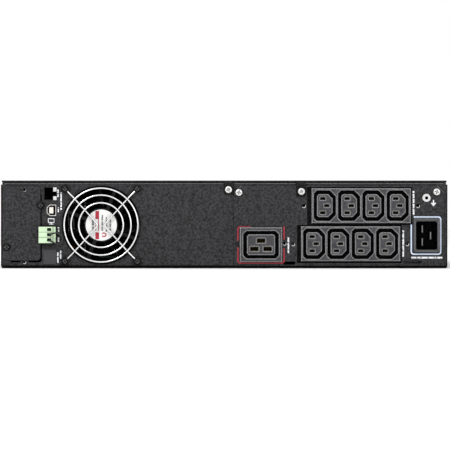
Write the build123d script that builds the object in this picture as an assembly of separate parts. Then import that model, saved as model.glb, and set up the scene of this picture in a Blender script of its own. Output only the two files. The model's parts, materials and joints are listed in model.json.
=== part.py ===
from build123d import *
import os
from math import hypot, pi, radians, tan

# A 2U rackmount UPS, in millimetres. The front faces -Y, the rear +Y, and +Z is up. The origin
# is the centre of the bottom face. The rear wall is laid out as it is seen from behind: u runs
# right from the case's left edge and v runs up from its bottom.

# Case
WIDTH = 441.0
HEIGHT = 86.5
DEPTH = 522.0
SHEET = 1.2
BEND = 2.5
FOLD_R = 1.0
PANEL_FOLD_R = 2.0
BEZEL_DEPTH = 32.0
REAR = DEPTH / 2
FRONT = -DEPTH / 2
CASE_FRONT = FRONT + BEZEL_DEPTH
PANEL_BACK = REAR - SHEET
WALL_X = WIDTH / 2 - SHEET
LID_UNDERSIDE = HEIGHT - SHEET
COVER_INSET = 1.0
COVER_LIP = 2.0
FLANGE = 12.0
SIDE_FLANGE = 6.0

# Rear wall: panels, tabs and fixings
EDGE_GAP = 0.1
WALL_TOP = HEIGHT - COVER_LIP - EDGE_GAP
PLATE = (230.1, 437.8, 2.0, 81.7)
PLATE_THICKNESS = 1.0
PLATE_CHAMFER = 7.4
PLATE_FACE = REAR + PLATE_THICKNESS
TABS = ((220.3, 229.7, 73.1), (291.9, 301.0, 71.1))
TAB_SCREWS = ((224.75, 77.4), (296.75, 75.6))
PANEL_SCREWS = ((235.0, 74.6), (430.2, 75.2))
BEHIND_PLATE = ((236.5, 433.0, 8.0, 72.0), (290.8, 407.5, 3.4, 81.4), (412.0, 426.5, 60.0, 74.0))
SCREW_HOLE_R = 2.15
CARD_COVER = (2.0, 39.1, 7.5, 81.0)
CARD_WINDOW = (8.9, 40.4, 5.6, 74.1)
CARD_COVER_SCREWS = ((5.7, 20.7), (39.3, 62.0))
CARD_NUTS = ((23.3, 76.8), (23.3, 5.6))
CARD_NUT_R = 1.6
CARD_LAND_R = 4.2
CARD_COVER_THICKNESS = 1.0
COVER_CORNER = 3.0
HOOK_SLOTS = ((278.1, 290.6, 3.4, 6.6), (398.4, 415.3, 4.4, 7.6))
CLIP_HOLES = ((299.2, 61.2), (411.8, 61.2), (288.6, 23.5), (401.3, 23.5), (233.3, 24.1), (280.1, 24.1))
CLIP_HOLE_R = 1.9
KNOCKOUT = (422.8, 58.5)
KNOCKOUT_R = 3.4

# Fan
FAN = (99.0, 42.5)
FAN_SIZE = 80.0
FAN_DEPTH = 25.0
FAN_PITCH = 71.5
FAN_BORE_R = 38.0
FAN_OPENING_R = 39.2
FAN_EDGE_BREAK = 0.7
HUB_R = 16.7
LABEL_R = 15.4
BLADE_COUNT = 7
STRUT_ANGLES = (-22, 68, 158, 248)
GUARD_RINGS = (36.4, 29.6, 22.0)
GUARD_WIRE_R = 0.8
GUARD_VERTEX = 2.8
GUARD_EYE_R = 2.6
GUARD_RISE = 3.0

# Ports
JACK = (42.0, 55.4, 66.4, 80.6)
JACK_DEPTH = 21.0
USB_CENTRE = (49.95, 57.1)
USB_SIZE = (9.2, 11.0)
USB_CHAMFER = 2.8
USB_SHELL = 0.55
BLANK_PLATE = (42.0, 54.4, 4.0, 18.2)
HEADER = (41.5, 55.6, 24.0, 41.5)
PLUG_OUTER = (37.9, 54.4, 24.8, 40.8)
PLUG_INNER = (42.6, 54.2, 25.2, 40.3)
PLUG_HOLE_U = 48.3
POLE_PITCH = 5.08
POLE_MIDDLE_V = 33.0
PLUG_FACE = REAR + 9.6
PLUG_BACK = REAR - 8.6
PLUG_HOLE_DEPTH = 4.0

# Jumper wire: points (u, v, y) from the middle pole to the bottom pole
WIRE_D = 1.7
WIRE_START = PLUG_FACE - PLUG_HOLE_DEPTH
WIRE_ROUTE = [
    (PLUG_HOLE_U, 33.0, WIRE_START),
    (PLUG_HOLE_U, 33.0, WIRE_START + 5.0),
    (50.9, 33.9, WIRE_START + 9.0),
    (55.6, 35.0, WIRE_START + 10.4),
    (60.4, 33.6, WIRE_START + 10.0),
    (62.4, 29.2, WIRE_START + 8.8),
    (60.6, 24.9, WIRE_START + 8.6),
    (55.8, 23.8, WIRE_START + 10.0),
    (51.0, 26.4, WIRE_START + 8.8),
    (PLUG_HOLE_U, 27.92, WIRE_START + 5.0),
    (PLUG_HOLE_U, 27.92, WIRE_START),
]

# Mains sockets
OUTLET_PROUD = 1.2
OUTLET_FACE = PLATE_FACE + OUTLET_PROUD
OUTLET_DEPTH = 30.0
POCKET_DEPTH = 4.5
UPPER_STRIP = (306.8, 404.8, 44.4, 78.8)
LOWER_STRIP = (296.4, 394.2, 6.8, 41.2)
UPPER_POCKET = (302.3, 405.9, 42.5, 80.1)
LOWER_POCKET = (292.4, 395.7, 5.0, 42.5)
EDGE_BREAK = 0.35
OUTLET_PITCH = 24.0
OUTLETS_PER_STRIP = 4
SOCKET_10A = (21.8, 30.2)
BOSS_10A = (15.4, 22.6)
SLOT_10A = (5.2, 2.8)
SLOTS_10A = ((-2.0, 7.0), (-2.0, -7.0), (2.0, 0.0))
LARGE_OUTLET = (235.9, 277.8, 5.8, 40.3)
LARGE_FLANGE = 2.0
SOCKET_16A = (35.2, 27.2)
BOSS_16A = (27.7, 20.4)
SLOT_16A = (8.4, 4.4)
SLOTS_16A = ((0.0, 4.0), (-6.5, -4.1), (6.5, -4.1))
SOCKET_DEPTH = 17.0
CONTACT_SET_BACK = 5.0
CONTACT_WALL = 0.5

INLET_CENTRE = (420.3, 32.2)
INLET_FLANGE = (26.0, 34.0)
INLET_BODY = (23.2, 30.4)
INLET_CAVITY = (21.2, 28.4)
INLET_STEP = (22.4, 30.8)
INLET_STEP_DEPTH = 0.9
INLET_PROUD = 2.0
INLET_DEPTH = 19.0
INLET_PINS = ((-4.2, 6.5), (-4.2, -6.5), (4.1, 0.0))
PIN_SIZE = (2.0, 8.0)
PIN_SET_BACK = 3.5

GROUND = (420.2, 69.3)
GROUND_R = 4.1
GROUND_SHANK_R = 3.2
GROUND_PROUD = 1.4
GROUND_LENGTH = 10.4
M4_MINOR_R = 1.65

# Side walls
EAR_Y = -205.0
EAR_Z = 43.0
EAR_SPACING = (22.0, 50.0)
EAR_HOLE_R = 2.1
SIDE_VENTS = 12
VENT_SLOT = (3.0, 18.0)
VENT_PITCH = 8.0

# Battery bay
BAY_X0 = -WALL_X
BAY_X1 = 90.0
BAY_BACK = 80.0
TRAY_CLEARANCE = 0.4
TRAY_SHEET = 1.0
TRAY_WALL_TOP = 50.0
TRAY_X0 = -217.5
TRAY_X1 = 88.5
TRAY_BACK = 76.0
TRAY_FRONT = CASE_FRONT - TRAY_CLEARANCE
BATTERY = (151.0, 94.0, 65.0)
BATTERY_ROW = 101.0
BATTERY_GAP = 1.0
CROSS_MEMBER_Z = 72.0
TRAY_SCREW_X = (-200.0, 70.0)
TRAY_SCREW_Z = 78.0
CONNECTOR = (26.0, 14.0)
CONNECTOR_CENTRE = (60.0, 30.0)

# Front
BEZEL_WALL = 3.0
BEZEL_Z = (0.3, 86.2)
BEZEL_SPLIT = 91.0
GRILLE_PITCH = 9.0
DISPLAY = (104.5, 207.5, 22.0, 74.0)
DISPLAY_THICKNESS = 14.0
DISPLAY_WALL = 2.0
HINGE_R = 3.0
HINGE_PIN_R = 1.5
HINGE_Y = FRONT + HINGE_R
HINGE_Z = DISPLAY[3] - HINGE_R
LENS = (110.0, 172.0, 31.0, 67.0)
KEYS = {
    "key_up": (182.0, 56.0),
    "key_down": (182.0, 39.0),
    "key_enter": (197.0, 56.0),
    "key_escape": (197.0, 39.0),
}
KEY_R = 4.6
KEY_PROUD = 1.2
KEY_GAP = 0.3
STATUS_LENSES = ((180.0, 67.5), (189.5, 67.5), (199.0, 67.5))
POWER_BUTTON = (197.0, 11.5)
POWER_R = 5.2


def rear_plane(y):
    """Plane parallel to the rear wall, with axes u and v."""
    return Plane(origin=(WIDTH / 2, y, 0), x_dir=(-1, 0, 0), z_dir=(0, 1, 0))


def front_plane(y):
    """Plane parallel to the front, with axes X and Z, whose normal points forward."""
    return Plane(origin=(0, y, 0), x_dir=(1, 0, 0), z_dir=(0, -1, 0))


def rect(u0, u1, v0, v1, corner=0.0):
    """Rectangle between four limits."""
    size = (u1 - u0, v1 - v0)
    shape = RectangleRounded(*size, corner) if corner else Rectangle(*size)
    return Pos((u0 + u1) / 2, (v0 + v1) / 2) * shape


def grown(limits, margin):
    """The four limits of a rectangle, moved out by a margin."""
    u0, u1, v0, v1 = limits
    return (u0 - margin, u1 + margin, v0 - margin, v1 + margin)


def centre_of(limits):
    u0, u1, v0, v1 = limits
    return ((u0 + u1) / 2, (v0 + v1) / 2)


def prism(y0, y1, sketch):
    """Solid between two depths, with a rear-view outline."""
    return extrude(rear_plane(y0) * sketch, y1 - y0, dir=(0, 1, 0))


def front_prism(y0, y1, sketch):
    """Solid from y0 back to y1, with an outline in X and Z."""
    return extrude(front_plane(y0) * sketch, y1 - y0, dir=(0, 1, 0))


def block(x0, x1, y0, y1, z0, z1):
    return Pos((x0 + x1) / 2, (y0 + y1) / 2, (z0 + z1) / 2) * Box(x1 - x0, y1 - y0, z1 - z0)


def circles(centres, radius):
    """Sketch of equal circles."""
    return Sketch() + [Pos(u, v) * Circle(radius) for u, v in centres]


def at_rear(u, v, y, shape):
    """Place a shape built along +Z so that it stands out of the rear wall."""
    return rear_plane(y).location * Pos(u, v, 0) * shape


def group(solids):
    return Compound(children=list(solids))


def pan_screw(head_r, head_h, shank_r, length):
    """Pan-head screw with a cross recess. The underside of its head is at z = 0."""
    dome = min(head_h, head_r) * 0.6
    head = fillet(Cylinder(head_r, head_h).edges().sort_by(Axis.Z)[-1], dome)
    head = Pos(0, 0, head_h / 2) * head
    bar = Box(head_r * 1.15, head_r * 0.3, head_h)
    recess = Pos(0, 0, head_h) * (bar + Rot(0, 0, 90) * bar)
    shank = Pos(0, 0, -length / 2) * Cylinder(shank_r, length)
    return head - recess + shank


# Case sheets
def chassis_base():
    """Floor, side walls with top flanges, rear flanges, front wall and front cross member."""
    outer = rect(-WIDTH / 2, WIDTH / 2, 0, LID_UNDERSIDE, BEND)
    inner = rect(-WALL_X, WALL_X, SHEET, LID_UNDERSIDE - SHEET, BEND - SHEET)
    mouth = rect(-WALL_X + 10, WALL_X - 10, LID_UNDERSIDE - 5, HEIGHT)
    body = front_prism(CASE_FRONT, REAR, outer - inner - mouth)
    for side in (-1, 1):
        body -= Pos(side * WIDTH / 2, REAR, HEIGHT) * Box(30, 30, 8)

    edge = WIDTH - SHEET
    flanges = rect(SHEET, SHEET + SIDE_FLANGE, SHEET, 80) + rect(edge - SIDE_FLANGE, edge, SHEET, 80)
    body += prism(PANEL_BACK - SHEET, PANEL_BACK, flanges - circles(CARD_COVER_SCREWS[:1], SCREW_HOLE_R))

    wall = rect(BEZEL_SPLIT + 0.5, WALL_X, SHEET, 80) + rect(-WALL_X, WALL_X, CROSS_MEMBER_Z, 84)
    for row in range(4):
        for column in range(14):
            x = 101 + column * 8
            z = 14 + row * 15
            wall -= Pos(x, z) * SlotOverall(11, 3, rotation=90)
    wall -= circles([(x, TRAY_SCREW_Z) for x in TRAY_SCREW_X], 2.6)
    body += front_prism(CASE_FRONT, CASE_FRONT + SHEET, wall)

    cutters = []
    for y in (EAR_Y - EAR_SPACING[0] / 2, EAR_Y + EAR_SPACING[0] / 2):
        for z in (EAR_Z - EAR_SPACING[1] / 2, EAR_Z + EAR_SPACING[1] / 2):
            cutters.append(Pos(0, y, z) * Rot(0, 90, 0) * Cylinder(EAR_HOLE_R, WIDTH + 10))
    slot = Plane.YZ * SlotOverall(VENT_SLOT[1], VENT_SLOT[0], rotation=90)
    slot = extrude(slot, WIDTH / 2 + 5, both=True)
    for column in range(SIDE_VENTS):
        for z in (28, 58):
            cutters.append(Pos(0, -170 + column * VENT_PITCH, z) * slot)
    return body - cutters


def rear_wall():
    """Full-width rear wall, folded forward along its top and bottom."""
    bottom = SHEET + EDGE_GAP
    edge = SHEET + EDGE_GAP
    outer = rect(REAR - 40, REAR, bottom, WALL_TOP, PANEL_FOLD_R)
    inner = rect(REAR - 50, PANEL_BACK, bottom + SHEET, WALL_TOP - SHEET, PANEL_FOLD_R - SHEET)
    profile = (outer - inner) & rect(REAR - FLANGE, REAR, 0, HEIGHT)
    folded = extrude(Plane.YZ * profile, WIDTH / 2, both=True)
    outline = rect(edge, WIDTH - edge, bottom, WALL_TOP)
    outline = fillet(outline.vertices().group_by(Axis.Y)[0], 1.5)
    flanges = rect(edge + SIDE_FLANGE, WIDTH - edge - SIDE_FLANGE, 0, HEIGHT)
    wall = folded & (prism(PANEL_BACK, REAR, outline) + prism(REAR - FLANGE, PANEL_BACK, flanges))

    window = rect(*CARD_WINDOW, COVER_CORNER) - circles([CARD_COVER_SCREWS[1], CARD_NUTS[1]], CARD_LAND_R)
    openings = Pos(*FAN) * Circle(FAN_OPENING_R) + circles(fan_corners(), 2.2) + window
    openings += rect(*grown(JACK, EDGE_GAP)) + rect(*grown(HEADER, EDGE_GAP)) + rect(*BLANK_PLATE)
    openings += Pos(*USB_CENTRE) * usb_outline(0.4)
    openings += circles(CARD_NUTS, CARD_NUT_R) + circles(CARD_COVER_SCREWS, 1.7)
    openings += circles(TAB_SCREWS + PANEL_SCREWS, SCREW_HOLE_R)
    for opening in BEHIND_PLATE + tuple(grown(slot, 0.5) for slot in HOOK_SLOTS):
        openings += rect(*opening)
    wall -= prism(PANEL_BACK, REAR, openings)
    return wall - at_rear(*CARD_NUTS[1], REAR - 0.3, Cone(CARD_NUT_R, CARD_NUT_R + 0.8, 0.6))


def outlet_panel():
    """Chamfered plate on the rear wall, with a stepped recess that holds both outlet strips."""
    left, right, bottom, top = PLATE
    cut = PLATE_CHAMFER
    corners = [(left, bottom), (right, bottom), (right, top - cut), (right - cut, top)]
    corners += [(left + cut, top), (left, top - cut)]
    panel = prism(REAR, PLATE_FACE, Polygon(*corners, align=None))
    panel = chamfer(panel.faces().sort_by(Axis.Y)[-1].edges(), 0.25)

    floor_y = PLATE_FACE - POCKET_DEPTH
    recess = rect(*UPPER_POCKET) + rect(*LOWER_POCKET)
    rim = rect(*grown(UPPER_POCKET, PLATE_THICKNESS)) + rect(*grown(LOWER_POCKET, PLATE_THICKNESS))
    panel += prism(floor_y - PLATE_THICKNESS, REAR, rim)
    panel -= prism(floor_y, PLATE_FACE, recess)
    for strip in (UPPER_STRIP, LOWER_STRIP):
        panel -= prism(floor_y - PLATE_THICKNESS, PLATE_FACE, rect(*grown(strip, EDGE_GAP)))

    holes = circles(TAB_SCREWS[1:] + PANEL_SCREWS, SCREW_HOLE_R) + circles(CLIP_HOLES, CLIP_HOLE_R)
    holes += Pos(*GROUND) * Circle(GROUND_SHANK_R)
    holes += Pos(*INLET_CENTRE) * Rectangle(INLET_BODY[0] + 0.2, INLET_BODY[1] + 0.2)
    holes += rect(*grown(LARGE_OUTLET, -2.4))
    for slot in HOOK_SLOTS:
        holes += rect(*slot, 1.0)
    panel -= prism(REAR, PLATE_FACE, holes)
    for u, v in CLIP_HOLES[:4]:
        panel -= at_rear(u, v, PLATE_FACE - 0.3, Cone(CLIP_HOLE_R, CLIP_HOLE_R + 0.6, 0.6))
    ring = Circle(KNOCKOUT_R) - Circle(KNOCKOUT_R - 0.4)
    return panel - prism(PLATE_FACE - 0.25, PLATE_FACE, Pos(*KNOCKOUT) * ring)


def top_cover():
    """Flat lid with a rear lip and two tabs that fold down over the rear wall and the plate."""
    half = WIDTH / 2 - COVER_INSET
    lip_y = REAR + SHEET
    cover = block(-half, half, CASE_FRONT, lip_y, LID_UNDERSIDE, HEIGHT)
    cover += prism(REAR, lip_y, rect(COVER_INSET, WIDTH - COVER_INSET, HEIGHT - COVER_LIP, HEIGHT))
    fold = cover.edges().filter_by(Axis.X).sort_by(lambda e: e.center().Y + e.center().Z)[-1]
    cover = fillet(fold, FOLD_R)
    for (u0, u1, v0), seat in zip(TABS, (REAR, PLATE_FACE)):
        tab = rect(u0, u1, v0, HEIGHT - FOLD_R)
        tab = fillet(tab.vertices().group_by(Axis.Y)[0], 1.0) - circles(TAB_SCREWS, SCREW_HOLE_R)
        cover += prism(seat, seat + SHEET, tab)
    return cover


def battery_bay_wall():
    """Bent sheet that divides the battery bay from the electronics."""
    floor = SHEET + EDGE_GAP
    wall = block(BAY_X1, BAY_X1 + SHEET, CASE_FRONT + SHEET + 0.2, BAY_BACK + SHEET, floor, 83.5)
    wall += block(BAY_X0 + EDGE_GAP, BAY_X1 + SHEET, BAY_BACK, BAY_BACK + SHEET, floor + 2, 82)
    x, z = CONNECTOR_CENTRE
    hole = rect(x - 17, x + 17, z - 11, z + 11)
    return wall - front_prism(BAY_BACK, BAY_BACK + SHEET, hole)


def card_slot_cover():
    """Blanking plate of the option card slot, with an ear for its right screw."""
    plate = rect(*CARD_COVER, COVER_CORNER) + Pos(*CARD_COVER_SCREWS[1]) * Circle(CARD_LAND_R)
    plate -= circles(CARD_COVER_SCREWS, 1.7) + Pos(*CARD_NUTS[0]) * Circle(CARD_NUT_R)
    cover = prism(REAR, REAR + CARD_COVER_THICKNESS, plate)
    dimple = Cone(CARD_NUT_R, CARD_NUT_R + 0.8, 0.6)
    cover -= at_rear(*CARD_NUTS[0], REAR + CARD_COVER_THICKNESS - 0.3, dimple)
    front_edges = cover.faces().sort_by(Axis.Y)[-1].outer_wire().edges()
    return chamfer(front_edges, 0.25)


def cover_screws():
    """Four bright screws: two in the lid's tabs, two in the outlet panel."""
    screw = pan_screw(3.6, 2.5, 2.0, 8.0)
    seats = (REAR + SHEET, PLATE_FACE + SHEET)
    tabs = [at_rear(u, v, y, Rot(0, 0, 25) * screw) for (u, v), y in zip(TAB_SCREWS, seats)]
    panel = [at_rear(u, v, PLATE_FACE, Rot(0, 0, -15) * screw) for u, v in PANEL_SCREWS]
    return group(tabs + panel)


def card_cover_screws():
    screw = pan_screw(3.5, 2.2, 1.5, 6.0)
    return group(at_rear(u, v, REAR + CARD_COVER_THICKNESS, screw) for u, v in CARD_COVER_SCREWS)


# Fan
def fan_corners():
    half = FAN_PITCH / 2
    return [(FAN[0] + su * half, FAN[1] + sv * half) for su in (-1, 1) for sv in (-1, 1)]


def fan_frame():
    """Square fan housing with four struts that carry the fixed motor base."""
    back = PANEL_BACK - FAN_DEPTH
    square = Pos(*FAN) * RectangleRounded(FAN_SIZE, FAN_SIZE, 3.5)
    bore = Pos(*FAN) * Circle(FAN_BORE_R)
    holes = circles(fan_corners(), 2.15)
    frame = prism(back, PANEL_BACK, Pos(*FAN) * Circle(FAN_BORE_R + 1.7) - bore)
    frame += prism(back, back + 3.5, square - bore - holes)
    frame += prism(PANEL_BACK - 3.5, PANEL_BACK, square - bore - holes)
    strut = Pos((HUB_R + FAN_BORE_R) / 2, 0) * Rectangle(FAN_BORE_R - HUB_R + 2, 3.4)
    spider = Circle(HUB_R)
    for angle in STRUT_ANGLES:
        spider += Rot(0, 0, angle) * strut
    frame += prism(PANEL_BACK - 3.2, PANEL_BACK, Pos(*FAN) * spider)
    bearing = Circle(4.0) - Circle(1.58)
    frame += prism(PANEL_BACK - 12, PANEL_BACK - 3.2, Pos(*FAN) * bearing)
    frame = chamfer(frame.faces().sort_by(Axis.Y)[-1].outer_wire().edges(), FAN_EDGE_BREAK)
    return frame - prism(PANEL_BACK - 3.2, PANEL_BACK - 1.5, Pos(*FAN) * Circle(1.58))


def fan_rotor():
    """Hub cup on a steel-thin shaft, with seven cambered blades."""
    y0 = PANEL_BACK - FAN_DEPTH + 1.5
    y1 = PANEL_BACK - 4.2
    cup = prism(y0, y1, Pos(*FAN) * Circle(HUB_R - 0.6))
    cup -= prism(y0 + 2, y1, Pos(*FAN) * Circle(HUB_R - 2.2))
    shaft = prism(y0, PANEL_BACK - 1.8, Pos(*FAN) * Circle(1.5))
    camber = 26.0
    thickness = 1.3
    arc = Circle(camber + thickness / 2) - Circle(camber - thickness / 2)
    arc &= Pos(camber, 0) * Rectangle(12, 19)
    arc = Rot(0, 0, 38) * Pos(-camber, 0) * arc
    blade = extrude(Plane.YZ * arc, 23, dir=(1, 0, 0))
    blade = Pos(HUB_R - 2, 0, 0) * blade
    limits = Cylinder(FAN_BORE_R - 1.2, y1 - y0 - 1) - Cylinder(HUB_R - 1.4, y1 - y0)
    blades = [Rot(0, 0, turn * 360 / BLADE_COUNT) * blade & limits for turn in range(BLADE_COUNT)]
    wheel = at_rear(*FAN, (y0 + y1) / 2, Part() + blades)
    return cup + shaft + wheel


def fan_guard():
    """Wire guard: three rings welded to two bent wires that end in screw eyes."""
    wire_y = REAR + GUARD_WIRE_R + 1.2
    ring_y = wire_y + 2 * GUARD_WIRE_R - 0.15
    eye_y = REAR + GUARD_WIRE_R
    guard = [at_rear(*FAN, ring_y, Torus(radius, GUARD_WIRE_R)) for radius in GUARD_RINGS]
    for side in (-1, 1):
        eyes = [(u, v) for u, v in fan_corners() if (u - FAN[0]) * side > 0]
        guard += [at_rear(u, v, eye_y, Torus(GUARD_EYE_R, GUARD_WIRE_R)) for u, v in eyes]
        low, high = [guard_arm(u, v, eye_y, wire_y) for u, v in eyes]
        vertex = (WIDTH / 2 - FAN[0] - side * GUARD_VERTEX, wire_y, FAN[1])
        path = FilletPolyline(*low, vertex, *reversed(high), radius=[5.0, 3.0, 5.0])
        start = Plane(origin=path @ 0, z_dir=path % 0)
        guard.append(sweep(start * Circle(GUARD_WIRE_R), path=path))
    return Part() + guard


def guard_arm(u, v, eye_y, wire_y):
    """Two points of a guard wire: beside its screw eye, and where it has risen to the rings."""
    reach = hypot(u - FAN[0], v - FAN[1])
    points = []
    for distance, y in ((reach - GUARD_EYE_R, eye_y), (GUARD_RINGS[0] + GUARD_RISE, wire_y)):
        share = distance / reach
        points.append((WIDTH / 2 - FAN[0] - (u - FAN[0]) * share, y, FAN[1] + (v - FAN[1]) * share))
    return points


def fan_screws():
    screw = pan_screw(3.3, 2.0, 1.7, 9.0)
    seat = REAR + 2 * GUARD_WIRE_R + 0.12
    return group(at_rear(u, v, seat, screw) for u, v in fan_corners())


def fan_label():
    return prism(PANEL_BACK, PANEL_BACK + 0.15, Pos(*FAN) * Circle(LABEL_R))


# Ports
def serial_jack():
    """Modular jack on its side, latch to the right."""
    face = REAR - 0.1
    jack = prism(face - JACK_DEPTH, face, rect(*JACK))
    mouth = rect(42.9, 51.4, 67.5, 79.5) + rect(51.0, 54.6, 71.3, 75.3)
    jack -= prism(face - 14, face, mouth)
    pipes = rect(51.7, 55.0, 75.7, 79.7) + rect(51.7, 55.0, 67.1, 70.9)
    return jack - prism(face - 6, face, pipes)


def jack_light_pipes():
    face = REAR + 0.1
    return group(
        prism(face - 6.2, face, rect(51.7, 55.0, v0, v1)) for v0, v1 in ((75.7, 79.7), (67.1, 70.9))
    )


def usb_outline(margin):
    """Outline of a type B socket on its side, chamfered on the left."""
    half_u = USB_SIZE[0] / 2 + margin
    half_v = USB_SIZE[1] / 2 + margin
    cut = USB_CHAMFER + margin * 0.6
    corners = [(-half_u + cut, -half_v), (half_u, -half_v), (half_u, half_v), (-half_u + cut, half_v)]
    corners += [(-half_u, half_v - cut), (-half_u, -half_v + cut)]
    return fillet(Polygon(*corners, align=None).vertices(), 0.5)


def usb_shell():
    ring = usb_outline(0) - usb_outline(-USB_SHELL)
    return prism(REAR - 15, REAR + 0.8, Pos(*USB_CENTRE) * ring)


def usb_tongue():
    """Insulator that closes the socket's back, with its tongue."""
    base = prism(REAR - 15, REAR - 12, Pos(*USB_CENTRE) * usb_outline(-USB_SHELL))
    tongue = prism(REAR - 12, REAR - 0.6, rect(47.6, 51.7, 54.0, 60.2, 0.3))
    return base + tongue


def terminal_header():
    """Fixed half of the control terminal."""
    face = REAR - 0.1
    header = prism(face - 17, face, rect(*HEADER))
    return header - prism(PLUG_BACK - 0.5, face, rect(*grown(PLUG_INNER, 0.35)))


def pole_rows():
    return [POLE_MIDDLE_V + step * POLE_PITCH for step in (1, 0, -1)]


def terminal_plug():
    """Pull-off half of the control terminal: wire entries face the rear, screws the side."""
    plug = prism(PLUG_BACK, REAR + 1.8, rect(*PLUG_INNER))
    plug += prism(REAR + 1.6, PLUG_FACE, rect(*PLUG_OUTER))
    plug -= prism(PLUG_FACE - 1.4, PLUG_FACE, rect(51.6, 54.4, 24.8, 40.8))
    for row in pole_rows():
        entry = rect(46.2, 50.4, row - 1.55, row + 1.55, 0.4)
        plug -= prism(PLUG_FACE - PLUG_HOLE_DEPTH, PLUG_FACE, entry)
        plug -= screw_bore(row, 2.0)
    for groove in (POLE_MIDDLE_V - POLE_PITCH / 2, POLE_MIDDLE_V + POLE_PITCH / 2):
        plug -= prism(PLUG_FACE - 0.5, PLUG_FACE, rect(37.9, 51.6, groove - 0.25, groove + 0.25))
    return plug


def screw_bore(row, radius):
    """Cylinder for a clamp screw, from the plug's left side."""
    x = WIDTH / 2 - PLUG_OUTER[0] - 3
    return Pos(x, PLUG_FACE - 3.4, row) * Rot(0, 90, 0) * Cylinder(radius, 6)


def terminal_screws():
    screws = []
    for row in pole_rows():
        x = WIDTH / 2 - PLUG_OUTER[0] - 0.7
        slot = Pos(x, PLUG_FACE - 3.4, row) * Box(1.0, 3.4, 0.7)
        body = screw_bore(row, 1.85) & Pos(x - 2.5, PLUG_FACE, row) * Box(5, 20, 6)
        screws.append(body - slot)
    return group(screws)


def corner_radii(points):
    """Largest arc that each corner's two runs allow: 0.45 of the shorter run over tan(turn / 2)."""
    radii = []
    for before, here, after in zip(points, points[1:], points[2:]):
        first = Vector(*here) - Vector(*before)
        second = Vector(*after) - Vector(*here)
        half_turn = radians(first.get_angle(second)) / 2
        radii.append(0.45 * min(first.length, second.length) / tan(half_turn))
    return radii


def jumper_wire():
    """Short link between two poles, in straight runs joined by tangent arcs."""
    points = [(WIDTH / 2 - u, y, v) for u, v, y in WIRE_ROUTE]
    radii = corner_radii(points)
    path = FilletPolyline(*points, radius=radii)
    print("jumper wire radii", [round(radius, 2) for radius in radii], "length", round(path.length, 2))
    start = Plane(origin=path @ 0, z_dir=path % 0)
    wire = sweep(start * Circle(WIRE_D / 2), path=path)
    section = pi * WIRE_D**2 / 4
    print("volume over section times length", round(wire.volume / (section * path.length), 4))
    return wire


def port_blank_plate():
    return prism(PANEL_BACK, REAR + 0.2, rect(*BLANK_PLATE, 0.6))


# Mains sockets
def socket_outline(size, right_cut, left_cut, corner):
    """Rectangle with chamfered corners, larger ones on the right, all slightly rounded."""
    w, h = size[0] / 2, size[1] / 2
    r, l = right_cut, left_cut
    corners = [(-w + l, -h), (w - r, -h), (w, -h + r), (w, h - r), (w - r, h), (-w + l, h)]
    corners += [(-w, h - l), (-w, -h + l)]
    return fillet(Polygon(*corners, align=None).vertices(), corner)


def slot_sketch(centre, offsets, size, margin=0.0):
    slots = [Pos(centre[0] + du, centre[1] + dv) for du, dv in offsets]
    return Sketch() + [slot * Rectangle(size[0] - margin, size[1] - margin) for slot in slots]


def strip_centres(strip):
    u, v = centre_of(strip)
    middle = (OUTLETS_PER_STRIP - 1) / 2
    return [(u + (index - middle) * OUTLET_PITCH, v) for index in range(OUTLETS_PER_STRIP)]


def break_edges(body, inside):
    """Chamfer the edges of a socket face that lie inside a sketch."""
    low, high = inside.bounding_box().min, inside.bounding_box().max
    front = body.edges().group_by(Axis.Y)[-1]
    chosen = []
    for edge in front:
        middle = edge.center()
        u = WIDTH / 2 - middle.X
        if low.X < u < high.X and low.Y < middle.Z < high.Y:
            chosen.append(edge)
    return chamfer(chosen, EDGE_BREAK)


def outlet_strip(strip):
    """Four 10 A outlets in one moulding, with a mounting flange behind the recess."""
    body = prism(OUTLET_FACE - OUTLET_DEPTH, OUTLET_FACE, rect(*strip))
    body = chamfer(body.faces().sort_by(Axis.Y)[-1].edges(), 0.5)
    u0, u1, v0, v1 = strip
    flange_y = PLATE_FACE - POCKET_DEPTH - PLATE_THICKNESS
    body += prism(flange_y - 2, flange_y, rect(u0 - 4, u1 + 2.6, v0 - 1.3, v1 + 0.3))
    groove = socket_outline(SOCKET_10A, 6.0, 3.0, 1.2) - socket_outline(BOSS_10A, 4.4, 1.6, 0.8)
    cuts = Sketch() + [Pos(u, v) * groove for u, v in strip_centres(strip)]
    cuts += [slot_sketch(centre, SLOTS_10A, SLOT_10A) for centre in strip_centres(strip)]
    body -= prism(OUTLET_FACE - SOCKET_DEPTH, OUTLET_FACE, cuts)
    return break_edges(body, rect(*grown(strip, -0.8)))


def outlet_16a():
    """Single 16 A outlet with a flange in front of the panel."""
    face = PLATE_FACE + LARGE_FLANGE
    centre = centre_of(LARGE_OUTLET)
    body = prism(PLATE_FACE, face, rect(*LARGE_OUTLET, 0.8))
    body = chamfer(body.faces().sort_by(Axis.Y)[-1].edges(), 0.5)
    body += prism(face - OUTLET_DEPTH, PLATE_FACE, rect(*grown(LARGE_OUTLET, -2.5)))
    groove = socket_outline(SOCKET_16A, 3.2, 3.2, 1.5) - socket_outline(BOSS_16A, 1.6, 1.6, 1.0)
    cuts = Pos(*centre) * groove + slot_sketch(centre, SLOTS_16A, SLOT_16A)
    body -= prism(face - SOCKET_DEPTH, face, cuts)
    return break_edges(body, rect(*grown(LARGE_OUTLET, -1.0)))


def contact_clips(face, centre, offsets, size):
    """Spring clips, one in each slot, open towards the rear."""
    clips = []
    for du, dv in offsets:
        outer = slot_sketch(centre, [(du, dv)], size, 0.2)
        inner = slot_sketch(centre, [(du, dv)], size, 0.2 + 2 * CONTACT_WALL)
        clip = prism(face - SOCKET_DEPTH, face - CONTACT_SET_BACK, outer)
        clips.append(clip - prism(face - SOCKET_DEPTH + 1, face - CONTACT_SET_BACK, inner))
    return clips


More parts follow.
